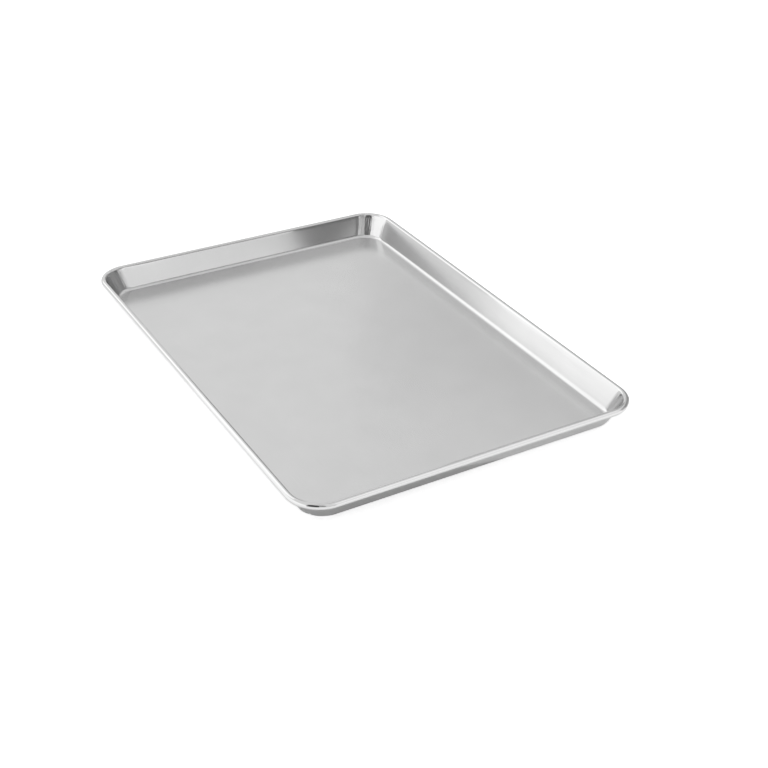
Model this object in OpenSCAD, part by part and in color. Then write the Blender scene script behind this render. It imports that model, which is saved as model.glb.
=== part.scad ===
// Jelly roll pan: one pressed aluminium sheet whose edge is rolled round a steel wire.
// Frame: X along the pan, Y across it, Z up; the origin is under the middle, on the table.

/* [Pan] */
// Length over the rolled rim
pan_l = 450.09; // [300:0.01:660]
// Width over the rolled rim
pan_w = 325.12; // [220:0.01:460]
// Height from the table to the top of the rim
pan_h = 22.86; // [20:0.01:50]

/* [Sheet] */
// Thickness of the sheet
sheet_t = 0.8; // [0.5:0.1:1.2]
// Inner radius of the bend between floor and wall
bend_r = 4.2; // [2:0.1:6]

/* [Wall] */
// Level distance from the outside of the rim to the edge of the flat floor
floor_inset = 17.1; // [14:0.1:24]
// Plan radius of the corners at the outside of the rim
rim_corner_r = 30; // [26:0.5:60]

/* [Rim] */
// Diameter of the wire inside the rim
wire_d = 3.8; // [2.6:0.1:4.6]
// Room between the wire and the sheet rolled round it
wire_clearance = 0.1; // [0.05:0.01:0.2]
// Opening left under the rim between the end of the roll and the wall
roll_gap = 0.6; // [0.3:0.1:1.2]
// Gap between the two ends of the wire, at the middle of one long side
wire_end_gap = 1.5; // [0.5:0.1:6]

/* [Hidden] */
$fn = 144;

// How far a cut runs past what it cuts, and a quarter of the pan past the middle
overrun = 2;
// How far a straight stretch of the sheet reaches into the bend beside it
weld = sheet_t / 2;
// How far inside a bend's radius the flat faces beside it lie, so that they cross its arcs cleanly
tuck = 0.001;

// Radii of the roll, measured from the wire's centre
roll_in_r = wire_d / 2 + wire_clearance;
roll_out_r = roll_in_r + sheet_t;
bend_out_r = bend_r + sheet_t;

// Centre of the plan arcs at a corner, measured from the middle of the pan
corner_x = pan_l / 2 - rim_corner_r;
corner_y = pan_w / 2 - rim_corner_r;

// The section through the wall is drawn outward from that centre and up from the table
bend_c = [rim_corner_r - floor_inset, bend_out_r - tuck];
roll_c = [rim_corner_r - roll_out_r, pan_h - roll_out_r];

// The wall's inner face touches the bend's inner arc on one side and the roll's outer arc on the other
span = roll_c - bend_c;
wall_a = atan2(span.y, span.x) + asin((bend_r + roll_out_r - 2 * tuck) / norm(span));
wall_dir = [cos(wall_a), sin(wall_a)];
wall_in = [-sin(wall_a), cos(wall_a)];

// Angle of the roll's opening, from where it leaves the wall to its free end
roll_open_a = acos((roll_in_r - roll_gap) / roll_out_r);

module ring(c, r_in, r_out) {
    translate(c) difference() {
        circle(r = r_out);
        circle(r = r_in);
    }
}

// A point of the section, out from a bend's centre c towards the inside of the pan, then up the wall
function beside(c, inward, up_wall) = c + inward * wall_in + up_wall * wall_dir;

// A point well outside the roll, at an angle from the line on which the roll leaves the wall
function clear_of_roll(a) = roll_c + 2 * roll_out_r * [cos(wall_a + 90 + a), sin(wall_a + 90 + a)];

module floor_section() {
    polygon([
        [0, 0],
        [bend_c.x, 0],
        [bend_c.x + weld, sheet_t],
        [0, sheet_t]
    ]);
}

module bend_section() {
    intersection() {
        ring(bend_c, bend_r, bend_out_r);
        polygon([
            bend_c,
            [bend_c.x, 0],
            [bend_c.x + 2 * bend_out_r, 0],
            beside(bend_c, -bend_r - sheet_t, weld),
            beside(bend_c, -bend_r + sheet_t, -weld)
        ]);
    }
}

module wall_section() {
    polygon([
        beside(bend_c, tuck - bend_out_r, 0),
        beside(roll_c, roll_in_r - tuck, weld),
        beside(roll_c, roll_out_r - tuck, 0),
        beside(bend_c, tuck - bend_r, -weld)
    ]);
}

module roll_section() {
    difference() {
        ring(roll_c, roll_in_r, roll_out_r);
        polygon([
            roll_c,
            beside(roll_c, roll_in_r - sheet_t, weld),
            beside(roll_c, roll_in_r + sheet_t, -weld),
            clear_of_roll(roll_open_a / 2),
            clear_of_roll(roll_open_a)
        ]);
    }
}

// The whole sheet, cut from the middle of a corner outward
module sheet_section() {
    floor_section();
    bend_section();
    wall_section();
    roll_section();
}

module wire_section() {
    translate(roll_c) circle(r = wire_d / 2);
}

// A corner of the pan and half of the two sides beside it, all with the one section
module swept_quarter() {
    translate([corner_x, corner_y, 0]) {
        rotate_extrude(angle = 90) children();
        rotate([90, 0, 0]) linear_extrude(corner_y + overrun) children();
        mirror([1, -1, 0]) rotate([90, 0, 0]) linear_extrude(corner_x + overrun) children();
    }
}

module floor_quarter() {
    translate([-overrun, -overrun, 0])
        cube([corner_x + overrun, corner_y + overrun, sheet_t]);
}

module four_quarters() {
    for (end = [0, 1], side = [0, 1])
        mirror([end, 0, 0]) mirror([0, side, 0]) children();
}

module pan_shell() {
    color("gainsboro") four_quarters() {
        swept_quarter() sheet_section();
        floor_quarter();
    }
}

module rim_wire() {
    color("slategray") difference() {
        four_quarters() swept_quarter() wire_section();
        translate([-wire_end_gap / 2, 0, 0])
            cube([wire_end_gap, pan_w / 2, pan_h]);
    }
}

pan_shell();
rim_wire();
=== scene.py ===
# %% [markdown]
# Jelly roll pan.
# The real pan is one sheet of aluminium pressed into a shallow tray, and the edge of the sheet is rolled
# round a steel wire. This lesson starts from the part's CAD solids, which give the sizes and the places of
# things, and builds the finely rounded sheet and its finishes over them. All lengths are in metres.

# %% Load the CAD frame
import math

import bpy
from mathutils import Matrix, Vector


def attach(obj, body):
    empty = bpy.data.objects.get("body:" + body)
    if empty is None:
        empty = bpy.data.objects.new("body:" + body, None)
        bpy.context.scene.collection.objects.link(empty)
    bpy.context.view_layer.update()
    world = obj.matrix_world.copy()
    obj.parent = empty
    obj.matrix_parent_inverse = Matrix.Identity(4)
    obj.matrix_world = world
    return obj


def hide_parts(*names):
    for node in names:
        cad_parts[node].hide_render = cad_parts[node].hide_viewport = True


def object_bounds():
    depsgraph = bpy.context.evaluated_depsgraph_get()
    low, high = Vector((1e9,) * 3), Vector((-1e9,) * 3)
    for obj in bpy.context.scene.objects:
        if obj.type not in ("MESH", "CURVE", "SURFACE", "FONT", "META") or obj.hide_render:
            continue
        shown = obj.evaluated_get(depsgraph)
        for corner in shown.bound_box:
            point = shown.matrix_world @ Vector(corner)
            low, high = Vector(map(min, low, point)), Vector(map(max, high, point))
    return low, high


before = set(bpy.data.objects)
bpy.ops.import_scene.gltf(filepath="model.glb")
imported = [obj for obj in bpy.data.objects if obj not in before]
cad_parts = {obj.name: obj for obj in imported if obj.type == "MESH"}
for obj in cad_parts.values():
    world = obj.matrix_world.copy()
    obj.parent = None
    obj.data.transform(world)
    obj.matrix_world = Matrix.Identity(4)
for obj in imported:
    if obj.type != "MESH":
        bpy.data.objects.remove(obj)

cad_low, cad_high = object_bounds()
cad_size = cad_high - cad_low
MM = 0.001
print("CAD nodes:", sorted(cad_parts))
print("CAD box in mm:", [round(side / MM, 2) for side in cad_size])

# %% [markdown]
# Both Geometry Nodes and materials are node trees. Adding a node by hand means making it, setting its
# options and joining its sockets. One small function does the three at once. A value that is itself a
# socket becomes a link, and any other value is typed into the input.

# %% One helper for every node
def add_node(tree, kind, inputs=None, **options):
    node = tree.nodes.new(kind)
    for option, value in options.items():
        setattr(node, option, value)
    for name, value in (inputs or {}).items():
        if isinstance(value, bpy.types.NodeSocket):
            tree.links.new(value, node.inputs[name])
        else:
            node.inputs[name].default_value = value
    return node


# %% [markdown]
# The sheet.
# Seen from above, the pan is a rounded rectangle, and every cut through its wall has the same section: flat
# floor, bend, slanted wall, and a roll that turns through 300 degrees. The sheet could be modelled by hand
# with loop cuts and bevels, but its shape follows a rule, so Geometry Nodes build it from named sizes. A
# size can then be changed in one place and the corners, the bend and the roll all follow.
#
# The sizes repeat those of the CAD source. The only new one is the corner radius of the floor. On the real
# pan the corner walls lean out more than the straight ones, because the press draws the metal there, so the
# floor's corners are rounder than a plain offset of the rim would make them.
#
# A corner of 36 steps has 37 points, and one extra point lies on either side of it, as a support for the
# shading. That makes three points more than there are steps.

# %% Sizes of the sheet
sheet_sizes = {
    "Length": cad_size.x,
    "Width": cad_size.y,
    "Height": cad_size.z,
    "Sheet thickness": 0.8 * MM,
    "Bend radius": 4.2 * MM,
    "Floor inset": 17.1 * MM,
    "Rim corner radius": 30.0 * MM,
    "Floor corner radius": 18.5 * MM,
    "Roll outer radius": 2.8 * MM,
    "Roll opening": 0.6 * MM,
    "Support distance": 0.6 * MM,
}
sheet_counts = {
    "Corner steps": 36,
    "Bend steps": 12,
    "Roll steps": 36,
}
corner_count = 4
extra_points = 3
points_around = corner_count * (sheet_counts["Corner steps"] + extra_points)
print("The wall's slope follows from these. The sheet has", points_around, "points around")

# %% [markdown]
# The tree's inputs become sliders on the modifier. A float input is a length here, and an integer input is a
# number of steps. Each one is kept in a dictionary by its name, so that later cells can use it by name.

# %% Start the tree and name its inputs
pan_tree = bpy.data.node_groups.new("rolled_rim_pan", "GeometryNodeTree")
pan_tree.interface.new_socket("Geometry", in_out="OUTPUT", socket_type="NodeSocketGeometry")
for size_name in sheet_sizes:
    pan_tree.interface.new_socket(size_name, in_out="INPUT", socket_type="NodeSocketFloat")
for count_name in sheet_counts:
    pan_tree.interface.new_socket(count_name, in_out="INPUT", socket_type="NodeSocketInt")
pan_tree.interface.new_socket("Finish", in_out="INPUT", socket_type="NodeSocketMaterial")
group_in = add_node(pan_tree, "NodeGroupInput")
size = {socket.name: socket for socket in group_in.outputs}
print("Inputs:", [name for name in size if name])

# %% [markdown]
# Much of what follows is arithmetic between sockets. Writing every sum as its own node line would bury the
# idea, so a formula is written as a short list of steps: a name for the result, the kind of sum, and what
# goes in. Each step still becomes one Math node in the tree. The results are kept in the same dictionary as
# the inputs, so a later step can use an earlier result by its name.

# %% Turn a list of sums into Math nodes
def build_sums(tree, known, sums):
    for result, operation, *terms in sums:
        node = add_node(tree, "ShaderNodeMath", operation=operation)
        for slot_number, term in enumerate(terms):
            if isinstance(term, str):
                tree.links.new(known[term], node.inputs[slot_number])
            else:
                node.inputs[slot_number].default_value = term
        known[result] = node.outputs[0]
    return known


# %% [markdown]
# The section through the wall.
# It is drawn on its own, out from the middle of a corner and up from the table. The wall's inner face has
# to touch the bend on one side and the roll on the other, and the slope at which it does so comes from the
# distance between the two centres: the angle of that line, plus the angle whose sine is the sum of the two
# radii over the distance.

# %% Slope of the wall
full_turn = 2 * math.pi
quarter_turn = math.pi / 2
section = build_sums(pan_tree, size, [
    ("Bend outer radius", "ADD", "Bend radius", "Sheet thickness"),
    ("Roll inner radius", "SUBTRACT", "Roll outer radius", "Sheet thickness"),
    ("Bend out", "SUBTRACT", "Rim corner radius", "Floor inset"),
    ("Roll out", "SUBTRACT", "Rim corner radius", "Roll outer radius"),
    ("Roll up", "SUBTRACT", "Height", "Roll outer radius"),
    ("Span out", "SUBTRACT", "Roll out", "Bend out"),
    ("Span up", "SUBTRACT", "Roll up", "Bend outer radius"),
    ("Span angle", "ARCTAN2", "Span up", "Span out"),
    ("Span out squared", "MULTIPLY", "Span out", "Span out"),
    ("Span squared", "MULTIPLY_ADD", "Span up", "Span up", "Span out squared"),
    ("Span", "SQRT", "Span squared"),
    ("Radii", "ADD", "Bend radius", "Roll outer radius"),
    ("Lean sine", "DIVIDE", "Radii", "Span"),
    ("Lean angle", "ARCSINE", "Lean sine"),
    ("Wall angle", "ADD", "Span angle", "Lean angle"),
    ("Wall run", "COSINE", "Wall angle"),
    ("Wall rise", "SINE", "Wall angle"),
    ("Opening reach", "SUBTRACT", "Roll inner radius", "Roll opening"),
    ("Opening cosine", "DIVIDE", "Opening reach", "Roll outer radius"),
    ("Opening angle", "ARCCOSINE", "Opening cosine"),
    ("Roll start angle", "ADD", "Wall angle", quarter_turn),
    ("Roll sweep", "SUBTRACT", "Opening angle", full_turn),
    ("Roll end angle", "ADD", "Roll start angle", "Roll sweep"),
    ("Roll sweep back", "MULTIPLY", "Roll sweep", -1.0),
    ("Bend end angle", "SUBTRACT", "Wall angle", quarter_turn),
    ("Wall angle back", "MULTIPLY", "Wall angle", -1.0),
    ("Bend points", "ADD", "Bend steps", 1.0),
    ("Roll points", "ADD", "Roll steps", 1.0),
    ("Floor support out", "SUBTRACT", "Bend out", "Support distance"),
    ("Floor line out", "SUBTRACT", "Floor support out", "Support distance"),
])
print("Math nodes so far:", sum(node.bl_idname == "ShaderNodeMath" for node in pan_tree.nodes))

# %% [markdown]
# The section's points.
# Four arcs make the curved stretches: the bend and the roll, each once on the side that is seen from above
# and once on the other side, walked backwards. The straight stretches need only a few points. Two of them,
# called supports, lie just beside each arc: smooth shading blends the light between neighbouring points,
# and the supports keep that blend out of the flat faces, so that a flat wall looks flat in its reflections.

# %% Arcs of the section
arc_facts = [
    ("bend above", "Bend points", "Bend radius", -quarter_turn, "Wall angle", "Bend out",
     "Bend outer radius"),
    ("roll outside", "Roll points", "Roll outer radius", "Roll start angle", "Roll sweep", "Roll out",
     "Roll up"),
    ("roll inside", "Roll points", "Roll inner radius", "Roll end angle", "Roll sweep back", "Roll out",
     "Roll up"),
    ("bend below", "Bend points", "Bend outer radius", "Bend end angle", "Wall angle back", "Bend out",
     "Bend outer radius"),
]
stretches = {}
for arc_name, points, radius, start, sweep, centre_out, centre_up in arc_facts:
    arc = add_node(pan_tree, "GeometryNodeCurveArc", {
        "Resolution": section[points],
        "Radius": section[radius],
        "Start Angle": start if isinstance(start, float) else section[start],
        "Sweep Angle": section[sweep],
    }, mode="RADIUS", label=arc_name)
    centre = add_node(pan_tree, "ShaderNodeCombineXYZ", {"X": section[centre_out], "Y": section[centre_up]})
    moved = add_node(pan_tree, "GeometryNodeTransform", {
        "Geometry": arc.outputs["Curve"],
        "Translation": centre.outputs["Vector"],
    })
    stretches[arc_name] = moved.outputs["Geometry"]
print("Arcs:", sorted(stretches))

# %% [markdown]
# A support on the wall is found by walking from an arc's centre: outward by the arc's radius, at a right
# angle to the wall, then along the wall by the support distance. The sheet's free edge needs nothing, as the
# last point of the outer roll joins the first point of the inner one.

# %% Straight stretches of the section
wall_points = 8
straight_facts = [
    ("wall above", ("Bend out", "Bend outer radius", "Bend radius", 1.0),
     ("Roll out", "Roll up", "Roll outer radius", -1.0)),
    ("wall below", ("Roll out", "Roll up", "Roll inner radius", -1.0),
     ("Bend out", "Bend outer radius", "Bend outer radius", 1.0)),
]
for straight_name, *ends in straight_facts:
    line_ends = []
    for centre_out, centre_up, radius, side in ends:
        build_sums(pan_tree, section, [
            ("Across", "MULTIPLY", radius, side),
            ("Along", "MULTIPLY", "Support distance", side),
            ("Across out", "MULTIPLY_ADD", "Across", "Wall rise", centre_out),
            ("Point out", "MULTIPLY_ADD", "Along", "Wall run", "Across out"),
            ("Across back", "MULTIPLY", "Across", -1.0),
            ("Across up", "MULTIPLY_ADD", "Across back", "Wall run", centre_up),
            ("Point up", "MULTIPLY_ADD", "Along", "Wall rise", "Across up"),
        ])
        line_ends.append(add_node(pan_tree, "ShaderNodeCombineXYZ", {
            "X": section["Point out"],
            "Y": section["Point up"],
        }))
    line = add_node(pan_tree, "GeometryNodeCurvePrimitiveLine", {
        "Start": line_ends[0].outputs["Vector"],
        "End": line_ends[1].outputs["Vector"],
    })
    divided = add_node(pan_tree, "GeometryNodeResampleCurve", {
        "Curve": line.outputs["Curve"], "Count": wall_points})
    stretches[straight_name] = divided.outputs["Curve"]
print("Stretches:", sorted(stretches))

# %% [markdown]
# The floor's two edges are single points of the section, one above the other. A curve of one stretch needs
# two points, so each edge is a very short line that ends at the support distance from the bend.

# %% Edges of the floor
for edge_name, height_name, direction in (("floor above", "Sheet thickness", 1), ("floor below", None, -1)):
    ends = []
    for reach in ("Floor line out", "Floor support out")[::direction]:
        point = add_node(pan_tree, "ShaderNodeCombineXYZ", {"X": section[reach]})
        if height_name:
            pan_tree.links.new(section[height_name], point.inputs["Y"])
        ends.append(point.outputs["Vector"])
    line = add_node(pan_tree, "GeometryNodeCurvePrimitiveLine", {"Start": ends[0], "End": ends[1]})
    stretches[edge_name] = line.outputs["Curve"]
print("Stretches:", sorted(stretches))

# %% [markdown]
# The stretches are joined in the order in which a walk round the section meets them. It starts and ends in
# the floor. A Join Geometry node puts the last one linked first, so they are linked from the end.

# %% Join the section
walk = ["floor above", "bend above", "wall above", "roll outside", "roll inside", "wall below", "bend below",
        "floor below"]
whole_section = add_node(pan_tree, "GeometryNodeJoinGeometry")
for stretch_name in reversed(walk):
    pan_tree.links.new(stretches[stretch_name], whole_section.inputs["Geometry"])
section_size = add_node(pan_tree, "GeometryNodeAttributeDomainSize", {
    "Geometry": whole_section.outputs["Geometry"],
}, component="CURVE")
print("The section walks:", ", ".join(walk))

# %% [markdown]
# From section to sheet.
# A closed sheet of metal is, to a mesh, the same thing as a cylinder. The rings of the cylinder become the
# points of the section, and its two end faces become the two sides of the floor. So the tree makes a
# cylinder with one ring for each point, and then moves every point to its place. Nothing has to be sewn
# together afterwards, and the sheet is closed everywhere with all its faces outward.
#
# Dividing a point's number by the number of points around and rounding down gives its ring. A whole number
# may come out a hair too small, so a tiny nudge is added before the rounding.

# %% A cylinder with the right number of points
nudge = 0.0001
around = build_sums(pan_tree, section, [
    ("Steps a corner", "ADD", "Corner steps", extra_points),
    ("Steps around", "MULTIPLY", "Steps a corner", corner_count),
])
rings = add_node(pan_tree, "ShaderNodeMath", {0: section_size.outputs["Point Count"], 1: 1.0},
                 operation="SUBTRACT")
cylinder = add_node(pan_tree, "GeometryNodeMeshCylinder", {
    "Vertices": around["Steps around"],
    "Side Segments": rings.outputs[0],
}, fill_type="NGON")
point_index = add_node(pan_tree, "GeometryNodeInputIndex")
around["Index"] = point_index.outputs["Index"]
build_sums(pan_tree, around, [
    ("Ring share", "DIVIDE", "Index", "Steps around"),
    ("Ring share nudged", "ADD", "Ring share", nudge),
    ("Ring", "FLOOR", "Ring share nudged"),
    ("Ring start", "MULTIPLY", "Ring", "Steps around"),
    ("Step", "SUBTRACT", "Index", "Ring start"),
])
section_place = add_node(pan_tree, "GeometryNodeInputPosition")
ring_point = add_node(pan_tree, "GeometryNodeSampleIndex", {
    "Geometry": whole_section.outputs["Geometry"],
    "Value": section_place.outputs["Position"],
    "Index": around["Ring"],
}, data_type="FLOAT_VECTOR", domain="POINT")
ring_parts = add_node(pan_tree, "ShaderNodeSeparateXYZ", {"Vector": ring_point.outputs["Value"]})
around["Out"] = ring_parts.outputs["X"]
around["Up"] = ring_parts.outputs["Y"]
print("Every ring has", points_around, "points")

# %% [markdown]
# Where a step lies.
# Walking once round the pan passes four corners. Inside a corner the walker turns through a quarter turn in
# equal steps; one step before and one after it lie on the straight sides, as supports. From the number of
# the step come the corner it belongs to and the direction that the wall faces there.

# %% Direction of every step
half_step = 0.5
corner_support = 2 * MM
build_sums(pan_tree, around, [
    ("Corner share", "DIVIDE", "Step", "Steps a corner"),
    ("Corner share nudged", "ADD", "Corner share", nudge),
    ("Corner", "FLOOR", "Corner share nudged"),
    ("Corner start", "MULTIPLY", "Corner", "Steps a corner"),
    ("Step in corner", "SUBTRACT", "Step", "Corner start"),
    ("Step on arc", "SUBTRACT", "Step in corner", 1.0),
    ("Arc share free", "DIVIDE", "Step on arc", "Corner steps"),
    ("Arc share low", "MAXIMUM", "Arc share free", 0.0),
    ("Arc share", "MINIMUM", "Arc share low", 1.0),
    ("Turns", "ADD", "Corner", "Arc share"),
    ("Facing angle", "MULTIPLY", "Turns", quarter_turn),
    ("Facing x", "COSINE", "Facing angle"),
    ("Facing y", "SINE", "Facing angle"),
    ("Corner middle", "ADD", "Corner", 0.5),
    ("Corner angle", "MULTIPLY", "Corner middle", quarter_turn),
    ("Corner cosine", "COSINE", "Corner angle"),
    ("Corner sine", "SINE", "Corner angle"),
    ("Corner side x", "SIGN", "Corner cosine"),
    ("Corner side y", "SIGN", "Corner sine"),
    ("Last step", "ADD", "Corner steps", 1 + half_step),
    ("Is first", "LESS_THAN", "Step in corner", half_step),
    ("Is last", "GREATER_THAN", "Step in corner", "Last step"),
    ("Slide side", "SUBTRACT", "Is last", "Is first"),
    ("Slide", "MULTIPLY", "Slide side", corner_support),
])
print("Steps turn through", corner_count, "corners")

# %% [markdown]
# The lean of the corners.
# Going down the wall, the corner's centre moves inward and its radius grows by the same amount. On a
# straight side the two cancel, so only the corners change. The amount is nothing at the roll, which stays
# round, and grows evenly to the difference between the wanted floor corner and a plain offset.

# %% Lean of the corners
roll_tolerance = 0.01 * MM
build_sums(pan_tree, around, [
    ("Wall top rise", "MULTIPLY", "Roll outer radius", "Wall run"),
    ("Wall top", "ADD", "Roll up", "Wall top rise"),
    ("Below top", "SUBTRACT", "Wall top", "Up"),
    ("Below top kept", "MAXIMUM", "Below top", 0.0),
    ("Depth share", "DIVIDE", "Below top kept", "Wall top"),
    ("Floor corner gain", "SUBTRACT", "Floor corner radius", "Bend out"),
    ("From roll out", "SUBTRACT", "Out", "Roll out"),
    ("From roll up", "SUBTRACT", "Up", "Roll up"),
    ("From roll out squared", "MULTIPLY", "From roll out", "From roll out"),
    ("From roll squared", "MULTIPLY_ADD", "From roll up", "From roll up", "From roll out squared"),
    ("From roll", "SQRT", "From roll squared"),
    ("Roll reach", "ADD", "Roll outer radius", roll_tolerance),
    ("Off the roll", "GREATER_THAN", "From roll", "Roll reach"),
    ("Full lean", "MULTIPLY", "Depth share", "Floor corner gain"),
    ("Lean", "MULTIPLY", "Full lean", "Off the roll"),
])
plain_offset = sheet_sizes["Rim corner radius"] - sheet_sizes["Floor inset"]
largest_lean = sheet_sizes["Floor corner radius"] - plain_offset
print("Corner centres move inward by up to", round(largest_lean / MM, 2), "mm")

# %% [markdown]
# The place of a point.
# It is reached from the leaned centre of its corner, in the direction that its step faces, by as much as its
# ring lies out. The two supports of a corner then slide along their straight sides, away from the corner.

# %% Place of every point
place = build_sums(pan_tree, around, [
    ("Half length", "MULTIPLY", "Length", 0.5),
    ("Half width", "MULTIPLY", "Width", 0.5),
    ("Centre x", "SUBTRACT", "Half length", "Rim corner radius"),
    ("Centre y", "SUBTRACT", "Half width", "Rim corner radius"),
    ("Leaned centre x", "SUBTRACT", "Centre x", "Lean"),
    ("Leaned centre y", "SUBTRACT", "Centre y", "Lean"),
    ("Leaned reach", "ADD", "Out", "Lean"),
    ("Core x", "MULTIPLY", "Corner side x", "Leaned centre x"),
    ("Core y", "MULTIPLY", "Corner side y", "Leaned centre y"),
    ("Arc x", "MULTIPLY_ADD", "Facing x", "Leaned reach", "Core x"),
    ("Arc y", "MULTIPLY_ADD", "Facing y", "Leaned reach", "Core y"),
    ("Slide back", "MULTIPLY", "Slide", -1.0),
    ("Place x", "MULTIPLY_ADD", "Facing y", "Slide back", "Arc x"),
    ("Place y", "MULTIPLY_ADD", "Facing x", "Slide", "Arc y"),
])
sheet_point = add_node(pan_tree, "ShaderNodeCombineXYZ", {
    "X": place["Place x"],
    "Y": place["Place y"],
    "Z": place["Up"],
})
shaped = add_node(pan_tree, "GeometryNodeSetPosition", {
    "Geometry": cylinder.outputs["Mesh"],
    "Position": sheet_point.outputs["Vector"],
})
print("Math nodes in the tree:", sum(node.bl_idname == "ShaderNodeMath" for node in pan_tree.nodes))

# %% [markdown]
# Last, the tree keeps the direction that each point of the wall faces, under the name facing, because the
# finish of the drawn corners follows it. Faces are shaded smooth, apart from the two edges where the sheet
# was cut, and the tree ends by making everything real and giving it its material.

# %% Finish the tree
sharp_angle = math.radians(50)
facing = add_node(pan_tree, "ShaderNodeCombineXYZ", {"X": place["Facing x"], "Y": place["Facing y"]})
with_facing = add_node(pan_tree, "GeometryNodeStoreNamedAttribute", {
    "Geometry": shaped.outputs["Geometry"],
    "Name": "facing",
    "Value": facing.outputs["Vector"],
}, data_type="FLOAT_VECTOR", domain="POINT")
smooth_faces = add_node(pan_tree, "GeometryNodeSetShadeSmooth", {
    "Geometry": with_facing.outputs["Geometry"],
    "Shade Smooth": True,
}, domain="FACE")
edge_angle = add_node(pan_tree, "GeometryNodeInputMeshEdgeAngle")
is_cut = add_node(pan_tree, "ShaderNodeMath", {0: edge_angle.outputs["Unsigned Angle"], 1: sharp_angle},
                  operation="GREATER_THAN")
sharp_cut = add_node(pan_tree, "GeometryNodeSetShadeSmooth", {
    "Geometry": smooth_faces.outputs["Geometry"],
    "Selection": is_cut.outputs[0],
    "Shade Smooth": False,
}, domain="EDGE")
real = add_node(pan_tree, "GeometryNodeRealizeInstances", {"Geometry": sharp_cut.outputs["Geometry"]})
painted = add_node(pan_tree, "GeometryNodeSetMaterial", {
    "Geometry": real.outputs["Geometry"],
    "Material": size["Finish"],
})
add_node(pan_tree, "NodeGroupOutput", {"Geometry": painted.outputs["Geometry"]})
print("The tree has", len(pan_tree.nodes), "nodes")

# %% [markdown]
# Colours.
# A hex colour is what a screen shows. Light adds up in linear numbers, so one function turns each hex value
# into the linear colour that the shaders work with.

# %% Hex colour to linear
def linear(hex_colour):
    channels = []
    for start in (1, 3, 5):
        shown = int(hex_colour[start:start + 2], 16) / 255
        if shown <= 0.04045:
            channels.append(shown / 12.92)
        else:
            channels.append(((shown + 0.055) / 1.055) ** 2.4)
    return (*channels, 1.0)


print("Middle grey on screen is", round(linear("#808080")[0], 3), "in linear light")

# %% [markdown]
# Pressed aluminium.
# The pan is plain aluminium sheet, as most baking pans are. Rolling at the mill leaves it satin, with faint
# lines along its length, and the press leaves the floor as it was. The walls and the rolled edge slide
# through polished tools, so they come out brighter and reflect more sharply. At the corners the metal is
# squeezed together, which leaves fine streaks that run up the wall and a duller surface.
#
# One metal shader makes all of it. First come the masks that tell floor, wall, roll and corner apart. The
# height above the table is enough for three of them. A corner is where the wall faces neither straight along
# nor straight across the pan, so the two parts of facing, multiplied, are far from zero only there. Each mask
# begins at one value and is full at another.

# %% Masks for wall, roll and corner
def new_material(name):
    material = bpy.data.materials.new(name)
    material.use_nodes = True
    material.node_tree.nodes.clear()
    return material


sheet_metal = new_material("pressed_aluminium_sheet")
metal_tree = sheet_metal.node_tree
sheet_place = add_node(metal_tree, "ShaderNodeTexCoord")
sheet_axes = add_node(metal_tree, "ShaderNodeSeparateXYZ", {"Vector": sheet_place.outputs["Object"]})
kept_facing = add_node(metal_tree, "ShaderNodeAttribute", attribute_name="facing")
facing_axes = add_node(metal_tree, "ShaderNodeSeparateXYZ", {"Vector": kept_facing.outputs["Vector"]})
tone = build_sums(metal_tree, {
    "Along": sheet_axes.outputs["X"],
    "Across": sheet_axes.outputs["Y"],
    "Up": sheet_axes.outputs["Z"],
    "Facing x": facing_axes.outputs["X"],
    "Facing y": facing_axes.outputs["Y"],
}, [
    ("Facing product", "MULTIPLY", "Facing x", "Facing y"),
    ("Facing turned", "ABSOLUTE", "Facing product"),
])
mask_limits = {
    "Wall share": ("Up", 1.0 * MM, 4.0 * MM),
    "Roll share": ("Up", 18.5 * MM, 21.0 * MM),
    "Turned share": ("Facing turned", 0.02, 0.25),
}
for mask_name, (measured, begins, full) in mask_limits.items():
    mask = add_node(metal_tree, "ShaderNodeMapRange", {
        "Value": tone[measured],
        "From Min": begins,
        "From Max": full,
    }, interpolation_type="SMOOTHSTEP")
    tone[mask_name] = mask.outputs["Result"]
build_sums(metal_tree, tone, [
    ("Floor share", "SUBTRACT", 1.0, "Wall share"),
    ("Corner share", "MULTIPLY", "Turned share", "Wall share"),
    ("Straight share", "SUBTRACT", "Wall share", "Corner share"),
])
print("Masks:", [name for name in tone if name.endswith("share")])

# %% [markdown]
# The mill's lines and the squeezed corners.
# Both are stretched noise. For the floor the noise is squeezed across the pan and stretched along it. Real
# mill lines are about a tenth of a millimetre apart, which is finer than a pixel of this picture, so they are
# drawn 0.9 mm apart. For the corners the noise follows facing, so a streak stays on one line up the wall.
# A third, much larger noise is the slight waviness of thin sheet metal.

# %% Three noises
line_gap = 0.9 * MM
line_length = 45 * MM
streak_gap = 3.2 * MM
streak_length = 22 * MM
corner_arc = 25 * MM
wave_size = 38 * MM
build_sums(metal_tree, tone, [
    ("Line along", "DIVIDE", "Along", line_length),
    ("Line across", "DIVIDE", "Across", line_gap),
    ("Streak x", "MULTIPLY", "Facing x", corner_arc / streak_gap),
    ("Streak y", "MULTIPLY", "Facing y", corner_arc / streak_gap),
    ("Streak up", "DIVIDE", "Up", streak_length),
])
line_place = add_node(metal_tree, "ShaderNodeCombineXYZ", {"X": tone["Line along"], "Y": tone["Line across"]})
streak_place = add_node(metal_tree, "ShaderNodeCombineXYZ", {
    "X": tone["Streak x"], "Y": tone["Streak y"], "Z": tone["Streak up"]})
noises = {
    "Lines": add_node(metal_tree, "ShaderNodeTexNoise", {
        "Vector": line_place.outputs["Vector"], "Scale": 1.0, "Detail": 1.0}),
    "Streaks": add_node(metal_tree, "ShaderNodeTexNoise", {
        "Vector": streak_place.outputs["Vector"], "Scale": 1.0, "Detail": 2.0}),
    "Waves": add_node(metal_tree, "ShaderNodeTexNoise", {
        "Vector": sheet_place.outputs["Object"], "Scale": 1 / wave_size, "Detail": 2.0}),
}
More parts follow.
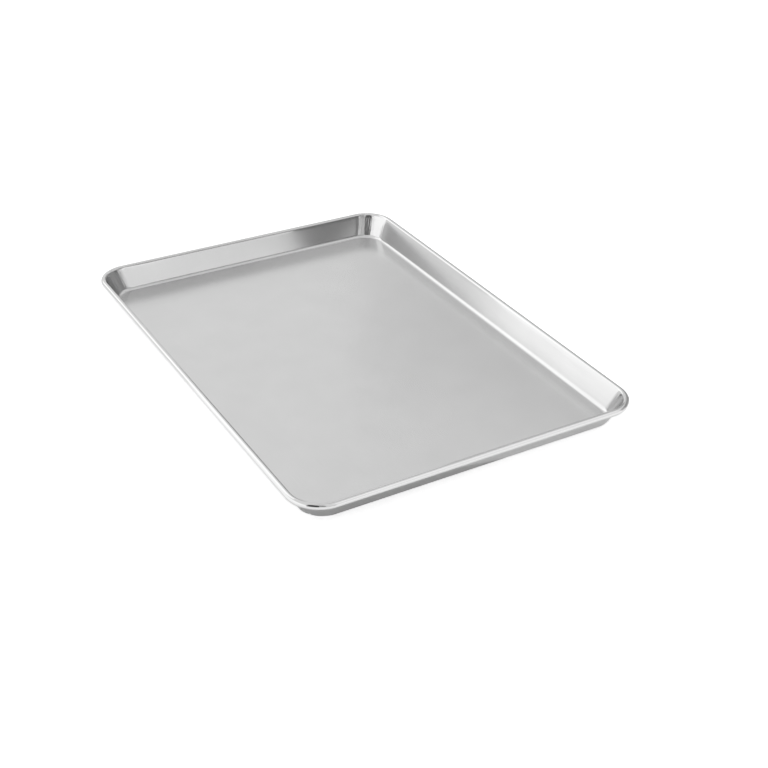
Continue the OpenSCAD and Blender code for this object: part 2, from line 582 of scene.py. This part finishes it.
for noise_name, noise in noises.items():
    tone[noise_name] = noise.outputs["Fac"]
print("Noises:", ", ".join(noises))

# %% [markdown]
# Height, roughness and colour.
# The streaks are real ridges, about a tenth of a millimetre high, so they go into the bump as a height in
# metres, and so do the much lower waves of the straight walls. A noise is 0.5 on average, and taking that
# away leaves as much dip as rise. The duller places get more roughness. The colour hardly changes over the
# sheet: clean aluminium is a neutral light grey, and the noises only tint it a little.

# %% Height, roughness and tint
streak_height = 0.45 * MM
wave_height = 0.05 * MM
noise_middle = 0.5
floor_roughness = 0.2
line_roughness = 0.04
straight_roughness = 0.16
corner_roughness = 0.18
roll_roughness = 0.075
line_tint = 0.5
build_sums(metal_tree, tone, [
    ("Below roll", "SUBTRACT", 1.0, "Roll share"),
    ("Drawn share", "MULTIPLY", "Corner share", "Below roll"),
    ("Streaks evenly", "SUBTRACT", "Streaks", noise_middle),
    ("Streak lift", "MULTIPLY", "Streaks evenly", streak_height),
    ("Corner lift", "MULTIPLY", "Streak lift", "Drawn share"),
    ("Waves evenly", "SUBTRACT", "Waves", noise_middle),
    ("Wave lift", "MULTIPLY", "Waves evenly", wave_height),
    ("Lift", "MULTIPLY_ADD", "Wave lift", "Straight share", "Corner lift"),
    ("Lined roughness", "MULTIPLY_ADD", "Lines", line_roughness, floor_roughness),
    ("Floor part", "MULTIPLY", "Lined roughness", "Floor share"),
    ("Straight part", "MULTIPLY_ADD", "Straight share", straight_roughness, "Floor part"),
    ("Wall part", "MULTIPLY_ADD", "Corner share", corner_roughness, "Straight part"),
    ("Roll pull", "SUBTRACT", roll_roughness, "Wall part"),
    ("Roughness", "MULTIPLY_ADD", "Roll share", "Roll pull", "Wall part"),
    ("Lines evenly", "SUBTRACT", "Lines", noise_middle),
    ("Tint", "MULTIPLY_ADD", "Lines evenly", line_tint, "Waves"),
])
print("Math nodes in the material:", sum(node.bl_idname == "ShaderNodeMath" for node in metal_tree.nodes))

# %% [markdown]
# Everything meets in one Principled shader, set fully metallic. A Mix node blends the two greys. It has
# sockets for numbers, vectors and colours under the same names, so those for colours are reached by number.

# %% The metal itself
mix_share = 0
mix_first_colour = 6
mix_second_colour = 7
mixed_colour = 2
relief = add_node(metal_tree, "ShaderNodeBump", {"Height": tone["Lift"], "Distance": 1.0})
grey = add_node(metal_tree, "ShaderNodeMix", {
    mix_share: tone["Tint"],
    mix_first_colour: linear("#CACACA"),
    mix_second_colour: linear("#D1D1D1"),
}, data_type="RGBA")
metal = add_node(metal_tree, "ShaderNodeBsdfPrincipled", {
    "Base Color": grey.outputs[mixed_colour],
    "Metallic": 1.0,
    "Roughness": tone["Roughness"],
    "Normal": relief.outputs["Normal"],
})
add_node(metal_tree, "ShaderNodeOutputMaterial", {"Surface": metal.outputs["BSDF"]})
print("The sheet's material has", len(metal_tree.nodes), "nodes")

# %% [markdown]
# Galvanised wire.
# The wire inside the rim is steel dipped in zinc. The zinc sets in small crystals, each a slightly different
# grey, and a Voronoi texture makes such cells. Only the opening under the rim shows any of it.

# %% Material of the wire
crystal_size = 1.5 * MM
smoothest_zinc = 0.36
dullest_zinc = 0.48
wire_metal = new_material("galvanised_steel_wire")
wire_tree = wire_metal.node_tree
wire_place = add_node(wire_tree, "ShaderNodeTexCoord")
crystals = add_node(wire_tree, "ShaderNodeTexVoronoi", {
    "Vector": wire_place.outputs["Object"], "Scale": 1 / crystal_size})
crystal_parts = add_node(wire_tree, "ShaderNodeSeparateColor", {"Color": crystals.outputs["Color"]})
zinc_grey = add_node(wire_tree, "ShaderNodeMix", {
    mix_share: crystal_parts.outputs["Red"],
    mix_first_colour: linear("#A9ACAE"),
    mix_second_colour: linear("#BEC1C3"),
}, data_type="RGBA")
zinc_roughness = add_node(wire_tree, "ShaderNodeMapRange", {
    "Value": crystal_parts.outputs["Green"], "To Min": smoothest_zinc, "To Max": dullest_zinc})
zinc = add_node(wire_tree, "ShaderNodeBsdfPrincipled", {
    "Base Color": zinc_grey.outputs[mixed_colour],
    "Metallic": 1.0,
    "Roughness": zinc_roughness.outputs["Result"],
})
add_node(wire_tree, "ShaderNodeOutputMaterial", {"Surface": zinc.outputs["BSDF"]})
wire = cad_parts["rim_wire"]
wire.data.materials.clear()
wire.data.materials.append(wire_metal)
print("The wire's material has", len(wire_tree.nodes), "nodes")

# %% [markdown]
# Build the sheet.
# A modifier on an empty object runs the tree with the named sizes. Its inputs are set by their identifiers
# before the first evaluation. The result is then copied to a plain mesh, so that what is kept is ordinary
# geometry that no longer depends on the tree. It rides on the pan's body and stands in for the CAD sheet.

# %% Build the sheet
def add_object(name, data):
    thing = bpy.data.objects.new(name, data)
    bpy.context.scene.collection.objects.link(thing)
    return thing


draft = add_object("pan_sheet_draft", bpy.data.meshes.new("pan_sheet_draft"))
modifier = draft.modifiers.new("rolled_rim_pan", "NODES")
modifier.node_group = pan_tree
wanted = {**sheet_sizes, **sheet_counts, "Finish": sheet_metal}
for item in pan_tree.interface.items_tree:
    if item.in_out == "INPUT":
        modifier[item.identifier] = wanted[item.name]
depsgraph = bpy.context.evaluated_depsgraph_get()
sheet_mesh = bpy.data.meshes.new_from_object(draft.evaluated_get(depsgraph))
sheet_mesh.name = "pan_sheet"
draft.modifiers.remove(modifier)
bpy.data.objects.remove(draft)
sheet = add_object("pan_sheet", sheet_mesh)
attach(sheet, "root")
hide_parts("pan_shell")
print("Sheet:", len(sheet_mesh.vertices), "points,", len(sheet_mesh.polygons), "faces")

# %% [markdown]
# Who sees the light.
# A metal object looks like what it reflects, so the studio matters as much as the metal. The white of the
# studio should be seen, directly and in the metal, without throwing more light on everything. A Light Path
# node tells the two apart: it says whether a ray comes straight from the camera, from a mirror-like bounce
# or through something clear.

# %% One for a ray that sees and nought for one that lights
def seen_share(tree):
    path = add_node(tree, "ShaderNodeLightPath")
    seen = build_sums(tree, {
        "Camera": path.outputs["Is Camera Ray"],
        "Glossy": path.outputs["Is Glossy Ray"],
        "Transmission": path.outputs["Is Transmission Ray"],
    }, [
        ("Camera or glossy", "ADD", "Camera", "Glossy"),
        ("Any", "ADD", "Camera or glossy", "Transmission"),
        ("Seen", "MINIMUM", "Any", 1.0),
    ])
    return seen


# %% [markdown]
# The table.
# It is a wide sheet of white paper. Its own glow is added only where it is seen, so the paper comes out white
# and the pan's shadow still shows on it. The paper and the cards further down are made the same way: a flat
# sheet with a matt surface and, where it needs one, a glow.

# %% White paper table
def lying(height, corners):
    return [(x, y, height) for x, y in corners]


def flat_sheet(name, corners, material):
    mesh = bpy.data.meshes.new(name)
    mesh.from_pydata(corners, [], [tuple(range(len(corners)))])
    mesh.materials.append(material)
    return add_object(name, mesh)


def matt_with_glow(tree, grey_hex, strength):
    matt = add_node(tree, "ShaderNodeBsdfDiffuse", {"Color": linear(grey_hex)})
    glow = add_node(tree, "ShaderNodeEmission", {"Color": linear("#FFFFFF"), "Strength": strength})
    both = add_node(tree, "ShaderNodeAddShader", {0: matt.outputs["BSDF"], 1: glow.outputs["Emission"]})
    add_node(tree, "ShaderNodeOutputMaterial", {"Surface": both.outputs["Shader"]})


paper_reach = 8.0
paper_glow = 0.55
paper = new_material("white_paper")
paper_seen = seen_share(paper.node_tree)
build_sums(paper.node_tree, paper_seen, [("Glow", "MULTIPLY", "Seen", paper_glow)])
matt_with_glow(paper.node_tree, "#F4F4F4", paper_seen["Glow"])
paper_corners = [
    (-paper_reach, -paper_reach), (paper_reach, -paper_reach), (paper_reach, paper_reach),
    (-paper_reach, paper_reach)]
studio_floor = flat_sheet("studio_floor", lying(0, paper_corners), paper)
print("The paper is", 2 * paper_reach, "m wide")

# %% [markdown]
# The white room.
# The world stands for the white walls and ceiling. They are seen, directly and in the metal, at strength 1,
# which is white, and they light matt things, such as the paper, a little less than that.

# %% White room
room_light = 0.8
room = bpy.data.worlds.new("white_room")
bpy.context.scene.world = room
room.use_nodes = True
room_tree = room.node_tree
room_tree.nodes.clear()
room_seen = seen_share(room_tree)
room_strength = add_node(room_tree, "ShaderNodeMapRange", {
    "Value": room_seen["Seen"], "To Min": room_light, "To Max": 1.0})
room_walls = add_node(room_tree, "ShaderNodeBackground", {
    "Color": linear("#FFFFFF"), "Strength": room_strength.outputs["Result"]})
add_node(room_tree, "ShaderNodeOutputWorld", {"Surface": room_walls.outputs["Background"]})
print("The room lights matt things at", room_light, "of its white")

# %% [markdown]
# Softboxes.
# Each one is placed for the part of the metal that mirrors it. The large one at the side whitens the long
# wall and the far corner. The one past the far end draws the bright lines along the bends and the rolled
# edge. The two small ones in front brighten the near edge. A place is written as a compass direction, the
# angle above the table and the distance. Then come the point that the softbox looks at, its width and height,
# and what it adds to the white of the room. The softboxes are only seen in the metal. The paper is lit by the
# room alone, so that the soft shadow under the pan stays.

# %% Softboxes
def compass(azimuth, elevation, distance):
    a = math.radians(azimuth)
    e = math.radians(elevation)
    return distance * Vector((math.cos(a) * math.cos(e), math.sin(a) * math.cos(e), math.sin(e)))


pan_middle = Vector((0, 0, 0))
near_edge = Vector((0.222, 0, 0.02))
softboxes = [
    ("side_softbox", compass(-99, 20, 1.5), pan_middle, 2.55, 1.05, 0.5),
    ("end_softbox", compass(-158, 40, 1.5), pan_middle, 0.87, 1.1, 0.65),
    ("front_softbox", compass(33, 10, 0.62), pan_middle, 0.7, 0.2, 0.35),
    ("front_top_softbox", near_edge + compass(55, 52, 0.6), near_edge, 0.7, 0.36, 0.33),
]
for box_name, box_place, aim, width, tall, added in softboxes:
    box_data = bpy.data.lights.new(box_name, "AREA")
    box_data.shape = "RECTANGLE"
    box_data.size = width
    box_data.size_y = tall
    box_data.energy = math.pi * added * width * tall
    box = add_object(box_name, box_data)
    box.location = box_place
    box.rotation_euler = (aim - box_place).to_track_quat("-Z", "Y").to_euler()
    box.visible_camera = False
    box.visible_diffuse = False
print("Softboxes:", len(softboxes))

# %% [markdown]
# Grey cards.
# A bright metal object in a white room would lose its shape, so a studio holds cards where the metal should
# show darker. Two cards beside the far end darken the right part of the far wall. The first has a slanted
# lower edge, which lets the dark fade towards the corner. The card near the camera gives the dark stripe in
# the far corner, and the darker one beside it gives the gleam on the rolled edge at the near left corner. The
# hanging card greys the far edge. The room card and the side strip draw the outer line of the long edge. Two
# pale cards behind the pan shade the right part of the floor and the top of the near edge, and the one
# overhead shades the floor beside the far wall. The three strips that lie on the table are painted shadow:
# grey sheets put under and beside the rim, where the pan's own shadow falls on the paper, so that the metal
# mirrors a darker shadow there. The side strip paints it beside the long edge. The two strips round the near
# end paint the shadow that keeps the outside of the near wall grey. The wide one has a little light of its
# own. The narrow one above it has none, and is the darker.

# %% Outlines of the cards
def standing(start, end, low, high):
    return [(*start, low), (*end, low), (*end, high), (*start, high)]


card_foot = 1 * MM
# Heights above the paper of the strips that paint the pan's shadow on the table.
painted_shadow_lift = 0.4 * MM
second_painted_shadow_lift = 0.6 * MM
# Outline of the wide strip that paints the pan's shadow round the near end and along the long sides.
near_painted_shadow = [
    (0.2105, 0.135), (0.2105, -0.135), (0.203, -0.146), (0.19, -0.151), (0.0, -0.152), (0.19, -0.175),
    (0.215, -0.17), (0.231, -0.15), (0.231, 0.15), (0.215, 0.17), (0.19, 0.175), (0.0, 0.152), (0.19, 0.151),
    (0.203, 0.146)]
# Outline of the narrow, darker strip that paints the deepest shadow under the near rim.
deep_painted_shadow = [
    (0.2105, 0.03), (0.2105, -0.135), (0.203, -0.146), (0.19, -0.151), (0.05, -0.152), (0.19, -0.165),
    (0.212, -0.16), (0.225, -0.147), (0.228, -0.12), (0.212, 0.03)]
# Outline of the strip that paints the pan's shadow on the table beside the long edge.
side_painted_shadow = [(-0.45, 0.166), (0.19, 0.166), (0.17, 0.34), (-0.45, 0.34)]
top_corners = [(-0.34, 0.0), (-0.05, 0.0), (-0.05, 0.4), (-0.34, 0.4)]
side_corners = [
    (0.124, 0.22, card_foot), (0.101, 0.241, 0.07), (0.061, 0.278, 0.105), (0.009, 0.326, 0.107),
    (0.009, 0.326, 0.22), (0.124, 0.22, 0.22)]
print("The slanted card has", len(side_corners), "corners")

# %% [markdown]
# Each card has a name, a grey, a glow of its own and its corners. The cards are only seen in the metal: they
# throw no shadow and the camera looks through them.

# %% Grey cards
cards = [
    ("side_card", "#9E9E9E", 0, side_corners),
    ("side_far_card", "#BABABA", 0, standing((0.009, 0.326), (-0.45, 0.75), card_foot, 0.22)),
    ("camera_card", "#7A7A7A", 0, standing((0.25, -0.33), (0.75, -0.22), 0.28, 0.85)),
    ("dark_camera_card", "#4A4A4A", 0, standing((0.46, -0.7), (0.746, -0.435), 0.22, 0.85)),
    ("room_card", "#C8C8C8", 0, standing((0.6, 0.78), (-1.3, 0.78), card_foot, 0.53)),
    ("hanging_card", "#DEDEDE", 0, standing((0.21, 0.03), (0.21, 0.85), 0.21, 0.9)),
    ("back_card", "#FAFAFA", 0.11, standing((-1.14, 0.67), (-0.2, 1.5), 0.6, 0.87)),
    ("high_back_card", "#FAFAFA", 0, standing((-1.05, 0.75), (-0.2, 1.5), 1.2, 2.2)),
    ("top_card", "#FAFAFA", 0, lying(1.0, top_corners)),
    # The three strips below are painted shadow: the pan's shadow on the paper, as the metal mirrors it.
    ("near_painted_shadow_card", "#F4F4F4", 0.2, lying(painted_shadow_lift, near_painted_shadow)),
    ("deep_painted_shadow_card", "#F4F4F4", 0, lying(second_painted_shadow_lift, deep_painted_shadow)),
    ("side_painted_shadow_card", "#B4B4B4", 0, lying(painted_shadow_lift, side_painted_shadow)),
]
for card_name, card_grey, card_glow, card_corners in cards:
    cardboard = new_material("cardboard_of_" + card_name)
    matt_with_glow(cardboard.node_tree, card_grey, card_glow)
    card = flat_sheet(card_name, card_corners, cardboard)
    card.visible_camera = False
    card.visible_diffuse = False
    card.visible_shadow = False
print("Cards:", len(cards))

# %% [markdown]
# The camera.
# Its place was worked out from the lines of the rim and the floor in the picture that the pan was rebuilt
# from, at the pan's true size. It looks at a point on the table from an azimuth and an elevation, and it is
# turned a little about its own axis.

# %% Camera
picture_width = 768
sensor_width = 36
focal_pixels = 1339.1
camera_azimuth = math.radians(58.88)
camera_elevation = math.radians(31.571)
camera_roll = math.radians(1.488)
camera_distance = 1192.9 * MM
looks_at = Vector((62.612 * MM, 2.912 * MM, 0))
away = Vector((
    math.sin(camera_azimuth) * math.cos(camera_elevation),
    -math.cos(camera_azimuth) * math.cos(camera_elevation),
    math.sin(camera_elevation),
))
camera_data = bpy.data.cameras.new("camera")
camera_data.sensor_width = sensor_width
camera_data.lens = sensor_width * focal_pixels / picture_width
camera_data.clip_start = 0.05
camera_data.clip_end = 50
camera = add_object("camera", camera_data)
camera.location = looks_at + away * camera_distance
level = (-away).to_track_quat("-Z", "Y").to_matrix().to_4x4()
camera.rotation_euler = (level @ Matrix.Rotation(camera_roll, 4, "Z")).to_euler()
bpy.context.scene.camera = camera
bpy.context.scene.view_settings.view_transform = "Standard"
print("Lens:", round(camera_data.lens, 1), "mm")
